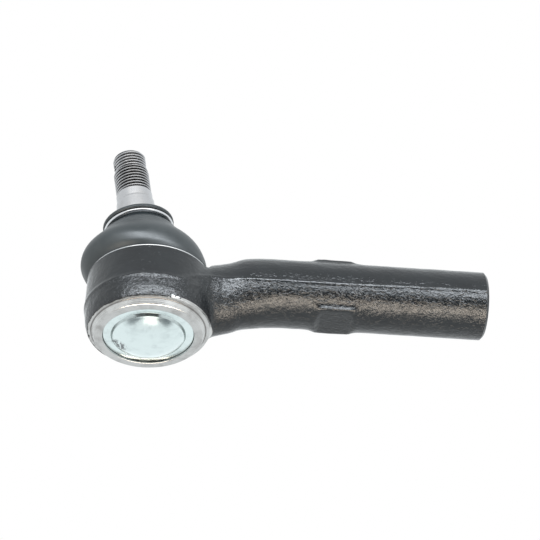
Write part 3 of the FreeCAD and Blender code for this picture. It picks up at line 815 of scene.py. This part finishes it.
@dataclass
class BallStud:
    """The stud: ball, neck, taper, land and thread, on its own leaning axis. Millimetres."""
    ball: float = 13.5
    ball_sweep: float = 148.8
    ball_steps: int = 40
    pin_hole: float = 1.75
    pin_height: float = 66.2
    pin_reach: float = 20.0
    segments: int = 128

    def build(self, rule: Tree) -> None:
        """Turn the stud, cut its thread and drill the hole for the split pin."""
        thread = Thread(pitch=1.411, start=52.1, end=70.8, crest=7.04, depth=0.9, tip_start=62.7,
                        tip_full=64.2, tip_drop=0.49, rows_a_turn=16, segments=self.segments)
        turns = (math.radians(-90 + self.ball_sweep * step / self.ball_steps)
                 for step in range(1, self.ball_steps + 1))
        sphere = [(self.ball * math.cos(a), self.ball * math.sin(a), 0.0) for a in turns]
        body = rounded([(0.0, -self.ball, 0.0), *sphere, (7.0, 11.9, 0.4), (7.0, 16.0, 3.0),
                        (8.95, 26.0, 4.0), (7.6, 47.6, 0.3), (7.2, 48.3, 0.3), (7.2, 51.9, 0.15),
                        (thread.crest, thread.start, 0)])
        tip = rounded([(6.2, 70.8, 0), (6.0, 71.2, 0.3), (5.2, 72.0, 0.8), (4.0, 72.2, 0.4), (0, 72.2, 0)])
        item = close_tube("ball_stud_turned", thread.make("stud_thread", rule), body, tip, self.segments)
        hole, reach = self.pin_hole, self.pin_reach
        bit = rounded([(0, -reach, 0), (hole, -reach, 0), (hole, reach, 0), (0, reach, 0)])
        cut(item, laid(turned("pin_drill", bit, segments=32), self.pin_height))
        self.mark(item)
        item.data.transform(stud_lean())
        soften(item, 40.0)
        dress(item, turned_steel("bright_steel_finish"), Slot.STUD, Body.STUD, "ball_stud")

    def mark(self, item: Item) -> None:
        """Store each point's place along the stud, and how deep it lies in a thread valley."""
        along = item.data.attributes.new("along", "FLOAT", "POINT")
        valley = item.data.attributes.new("valley", "FLOAT", "POINT")
        for point in item.data.vertices:
            place = point.co
            along.data[point.index].value = place.z
            crest = 6.95 if place.z < 63.4 * MM else 6.45
            if 52.2 * MM < place.z < 70.9 * MM:
                depth = (crest - math.hypot(place.x, place.y) / MM) / 0.55
                valley.data[point.index].value = min(max(depth, 0.0), 1.0)


@dataclass
class CoverPlate:
    """The pressed cover under the socket, held by the rolled lip. Millimetres."""
    rim: float = 18.5
    face: float = -16.2
    back: float = -14.6
    step_radius: float = 14.5
    dome_foot: float = 13.75
    foot_level: float = -17.5
    crown: float = -21.35
    dome_radius: float = 15.0
    foot_slope: float = 42.0
    dome_steps: int = 15

    def build(self) -> None:
        """Press the plate: a flat rim, a short step and a round dome with a flat crown."""
        slope = math.radians(self.foot_slope)
        middle = self.foot_level + self.dome_radius * math.cos(slope)
        start = self.dome_foot - self.dome_radius * math.sin(slope)
        turns = (slope * (1 - step / self.dome_steps) for step in range(self.dome_steps))
        dome = [(start + self.dome_radius * math.sin(a), middle - self.dome_radius * math.cos(a), 0.0)
                for a in turns]
        points = [(0.0, -19.8, 0.0), (4.0, -19.8, 1.5), (10.4, -17.9, 1.0), (12.3, -16.0, 0.5),
                  (12.3, self.back, 0.2), (self.rim, self.back, 0.3), (self.rim, self.face, 0.3),
                  (self.step_radius, self.face, 0.5), (self.dome_foot + 0.15, self.foot_level + 0.1, 0.2)]
        item = turned("pressed_cover_plate", rounded(points + dome + [(0.0, self.crown, 0.0)]), segments=160)
        soften(item)
        dress(item, domed_plating(), Slot.ZINC, Body.SOCKET, "cover_plate")


@dataclass
class DustBoot:
    """The moulded rubber boot, from its base under the retaining ring to its lip on the stud.

    The tables go by height: profile gives the radius, shares the share of the stud's lean, and
    shifts how far the ring at that height moves sideways. Millimetres.
    """
    wall: float = 1.7
    inside_top: float = 31.5
    segments: int = 144
    steps: int = 44
    profile: Outline = field(default_factory=lambda: [
        (10.1, 22.6), (11.0, 23.2), (13.0, 24.1), (16.5, 24.5), (20.5, 23.1), (25.0, 19.4), (28.0, 16.9),
        (30.5, 15.3), (32.4, 13.5), (33.8, 12.6)])
    shares: Outline = field(default_factory=lambda: [
        (10.0, 0.0), (13.0, 0.08), (16.5, 0.2), (20.5, 0.4), (25.0, 0.65), (29.5, 0.9), (33.5, 1.0),
        (50.0, 1.0)])
    shifts: Outline = field(default_factory=lambda: [
        (10.0, 0.0), (11.0, 0.3), (13.0, 1.3), (16.5, 2.5), (20.5, 3.3), (25.0, 4.0), (29.5, 4.35),
        (33.5, 4.25)])
    lip: list[Triple] = field(default_factory=lambda: [
        (12.45, 34.4, 0.3), (12.45, 35.8, 0.3), (13.8, 36.0, 0.2), (14.15, 36.5, 0.3), (14.1, 37.4, 0.3),
        (11.5, 37.6, 0.5), (9.6, 37.5, 0.3), (8.97, 36.6, 0.3), (8.97, 33.2, 0.4), (10.6, 32.4, 0.8)])

    def read(self, table: Outline, height: float) -> float:
        """Read a table of (height, value) at a height, in straight lines between its rows."""
        for (low, first), (high, second) in zip(table, table[1:]):
            if height <= high:
                part = max(0.0, (height - low) / (high - low))
                return first + (second - first) * part
        return table[-1][1]

    def leaning(self, point: Vector, full: Matrix) -> Vector:
        """Where a point of the upright boot goes at rest, when the stud's own lean is full."""
        height = point.z / MM
        if height > self.shifts[-1][0]:
            return full @ point
        lean = self.read(self.shares, height) * full.to_quaternion().angle
        flat = Matrix.Rotation(lean, 4, (0.0, -1.0, 0.0)) @ Vector((point.x, point.y, 0.0))
        return flat + Vector((-self.read(self.shifts, height) * MM, 0.0, point.z))

    def smooth_profile(self) -> Outline:
        """The outside as many points of (height, radius), on a curve through the profile."""
        points = [self.profile[0], *self.profile, self.profile[-1]]
        result = []
        spans = len(self.profile) - 1
        for step in range(self.steps + 1):
            place = spans * step / self.steps
            span = min(int(place), spans - 1)
            part = place - span
            height, radius = (
                0.5 * (2 * s + (e - b) * part + (2 * b - 5 * s + 4 * e - a) * part ** 2
                       + (3 * s - b - 3 * e + a) * part ** 3)
                for b, s, e, a in zip(*points[span:span + 4]))
            result.append((height, radius))
        return result

    def build(self) -> None:
        """Mould the boot as one closed skin whose rings lean more and more with the stud."""
        outside = self.smooth_profile()
        inside = []
        for (low, wide), (high, narrow) in zip(outside, outside[1:]):
            slope = Vector((high - low, narrow - wide)).normalized()
            height = (low + high) / 2 + slope.y * self.wall
            if height < self.inside_top:
                inside.append((height, (wide + narrow) / 2 - slope.x * self.wall))
        inside[0] = (self.profile[0][0], inside[0][1])
        outline = [(wide * MM, high * MM) for high, wide in outside] + rounded(self.lip)
        outline += [(wide * MM, high * MM) for high, wide in reversed(inside)]
        item = turned("moulded_dust_boot", outline, segments=self.segments)
        full = stud_lean()
        for point in item.data.vertices:
            point.co = self.leaning(point.co, full)
        soften(item, 45.0)
        item.data.materials.append(rubber("boot_rubber_finish", 0.4))
        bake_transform(item)
        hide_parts("dust_boot")
        LOG.info("%s: %d faces between two bodies", item.name, len(item.data.polygons))


def boot_rings() -> None:
    """Turn the steel ring that holds the boot's base, and the wire ring round its neck."""
    finish = plated_steel("bright_ring_finish", (0.70, 0.70, 0.71), (0.62, 0.66, 0.67), 0.2)
    base = turned("base_ring_pressed", rounded([
        (19.62, 9.0, 0.1), (23.7, 9.0, 0.3), (23.9, 9.45, 0.3), (23.7, 9.9, 0.3), (20.9, 9.9, 0.5),
        (20.4, 10.4, 0.3), (20.4, 13.0, 0.3), (19.62, 13.0, 0.3), (19.62, 9.1, 0)]), segments=144)
    neck = turned("neck_ring_wire", rounded([
        (12.6, 34.4, 0.3), (13.6, 34.4, 0.5), (13.95, 35.1, 0.5), (13.6, 35.7, 0.5), (12.6, 35.7, 0.3),
        (12.6, 34.6, 0)]), segments=128, pose=stud_lean())
    soften(base)
    soften(neck, 60.0)
    dress(base, finish, Slot.RING, Body.SOCKET, "boot_retaining_ring")
    dress(neck, finish, Slot.RING, Body.COLLAR, "boot_clamp_ring")


def dress_inner_parts() -> None:
    """Give the hidden parts, which keep their CAD shapes, their real finishes."""
    plastic = polymer("bearing_plastic_finish")
    steel = plated_steel("plain_steel_finish", (0.45, 0.44, 0.43), (0.30, 0.29, 0.28), 0.35)
    seal = rubber("seal_rubber_finish", 0.42)
    finishes = {"upper_ball_seat": plastic, "lower_ball_seat": plastic, "pressure_plate": steel,
                "preload_spring": steel, "cover_seal": seal}
    for name, finish in finishes.items():
        item = frame["nodes"][name]
        if not item.material_slots:
            item.data.materials.append(finish)
        for slot in item.material_slots:
            slot.material = finish
        LOG.info("%s: CAD shape, %s", name, finish.name)


# ---- studio


def direction(azimuth: float, elevation: float) -> Vector:
    """The direction at an azimuth from +Y towards +X and a height above the horizon, in degrees."""
    turn, lift = math.radians(azimuth), math.radians(elevation)
    return Vector((math.sin(turn) * math.cos(lift), math.cos(turn) * math.cos(lift), math.sin(lift)))


@dataclass(frozen=True)
class Strip:
    """A rectangular light in front of the object, seen only in the pieces that it names."""
    name: str
    elevation: float
    away: float
    size: tuple[float, float]
    radiance: float
    colour: Triple
    shown_in: tuple[str, ...]

    def place(self) -> None:
        """Put the light in the scene and link it to the pieces whose names hold one of its words."""
        light = bpy.data.lights.new(self.name, "AREA")
        light.shape = "RECTANGLE"
        light.size, light.size_y = self.size
        light.color = self.colour
        light.energy = self.radiance * math.pi * self.size[0] * self.size[1]
        item = placed(self.name, light)
        toward = direction(180.0, self.elevation)
        item.location = toward * self.away + Vector((0.05, 0.0, 0.0))
        item.rotation_euler = toward.to_track_quat("Z", "Y").to_euler()
        receivers = bpy.data.collections.new(self.name + "_receivers")
        for piece in bpy.context.scene.objects:
            if piece.type == "MESH" and any(word in piece.name for word in self.shown_in):
                receivers.objects.link(piece)
        item.light_linking.receiver_collection = receivers


DARK_PIECES = ("housing", "forg", "boot")
STRIPS = (
    Strip("cool_strip", 9.0, 1.0, (1.7, 0.28), 15.0, (0.88, 0.94, 1.0), DARK_PIECES),
    Strip("warm_strip", -59.0, 0.9, (1.7, 0.28), 11.0, (1.0, 0.89, 0.76), DARK_PIECES),
    Strip("dome_strip", -66.0, 0.9, (0.42, 0.60), 0.8, (1.0, 0.90, 0.78), ("cover",)),
    Strip("ring_strip", 20.0, 1.0, (1.7, 0.6), 2.4, (1.0, 0.98, 0.95), ("ring", "stud")),
)


@dataclass
class Studio:
    """Camera, pale floor, white surround and light cards. Degrees and metres."""
    azimuth: float = 7.96
    elevation: float = 37.08
    roll: float = -1.16
    distance: float = 0.9997
    aim: tuple[float, float] = (0.0474, 0.00429)
    pivot_height: float = 0.00975
    lens: float = 169.99
    floor_level: float = -1.2

    def place_camera(self) -> None:
        """Put the camera in place."""
        turn, roll = math.radians(self.azimuth), math.radians(self.roll)
        forward = direction(self.azimuth, self.elevation)
        level = Vector((math.cos(turn), -math.sin(turn), 0.0))
        rise = level.cross(forward)
        right = level * math.cos(roll) + rise * math.sin(roll)
        up = rise * math.cos(roll) - level * math.sin(roll)
        lens = bpy.data.cameras.new("camera")
        lens.lens = self.lens
        lens.clip_start, lens.clip_end = 0.05, 50.0
        camera = placed("camera", lens)
        place = -self.distance * forward + self.aim[0] * right + self.aim[1] * up
        place = place + Vector((0.0, 0.0, self.pivot_height))
        pose = Matrix((right, up, -forward)).transposed().to_4x4()
        camera.matrix_world = Matrix.Translation(place) @ pose
        bpy.context.scene.camera = camera

    def surround(self) -> None:
        """A plain white world, slightly cool in what it lights."""
        world = bpy.data.worlds.new("white_surround")
        world.use_nodes = True
        bpy.context.scene.world = world
        graph = Graph(world.node_tree)
        graph.tree.nodes.clear()
        seen = graph.add("ShaderNodeBackground", Strength=1.0, Color=(1.0, 1.0, 1.0, 1.0))
        soft = graph.add("ShaderNodeBackground", Strength=1.1, Color=(0.94, 0.98, 1.0, 1.0))
        mix = graph.add("ShaderNodeMixShader", Fac=graph.add("ShaderNodeLightPath").outputs["Is Camera Ray"])
        for index, source in ((1, soft), (2, seen)):
            give(graph.tree, mix.inputs[index], source.outputs[0])
        graph.add("ShaderNodeOutputWorld", Surface=mix.outputs[0])
        bpy.context.scene.view_settings.view_transform = "Standard"

    def card(self, name: str, toward: Vector, away: float, size: tuple[float, float],
             colour: Triple) -> Item:
        """A flat dull card that faces the object and that the camera doesn't see."""
        mesh = bpy.data.meshes.new(name)
        wide, tall = size[0] / 2, size[1] / 2
        corners = [(-wide, -tall, 0), (wide, -tall, 0), (wide, tall, 0), (-wide, tall, 0)]
        mesh.from_pydata(corners, [], [(0, 1, 2, 3)])
        item = placed(name, mesh)
        pose = toward.to_track_quat("Z", "Y").to_matrix().to_4x4()
        item.matrix_world = Matrix.Translation(toward.normalized() * away) @ pose
        work = Surface(name + "_paper")
        work.set(Base_Color=(*colour, 1.0), Roughness=1.0, Specular_IOR_Level=0.0)
        mesh.materials.append(work.material)
        item.visible_camera = False
        return item

    def floor(self) -> None:
        """A wide pale floor well below the object."""
        item = self.card("pale_floor", Vector((0, 0, 1)), 0.0, (24.0, 24.0), (0.9, 0.9, 0.9))
        item.location = (0.0, 0.0, self.floor_level)
        item.visible_camera = True

    def build(self) -> None:
        """Set everything up; the pieces have to be in the scene, because the strips look them up."""
        self.place_camera()
        self.surround()
        self.floor()
        behind = direction(180.0 + self.azimuth, -37.0)
        self.card("black_card", behind, 1.15, (1.5, 0.80), (0.004, 0.004, 0.004))
        for strip in STRIPS:
            strip.place()
        self.card("warm_card", direction(180.0, -60.0), 1.4, (0.55, 0.8), (0.72, 0.64, 0.54))
        for side in (-1.0, 1.0):
            self.card("side_card", direction(side * 122.0, -52.0), 1.3, (0.9, 0.7), (0.2, 0.21, 0.22))


def main() -> None:
    """Build every sub-assembly, then the studio."""
    logging.basicConfig(level=logging.INFO, format="%(message)s", force=True)
    rule = thread_tree()
    Housing().build(rule)
    BallStud().build(rule)
    CoverPlate().build()
    DustBoot().build()
    boot_rings()
    dress_inner_parts()
    Studio().build()


if __name__ == "__main__":
    main()
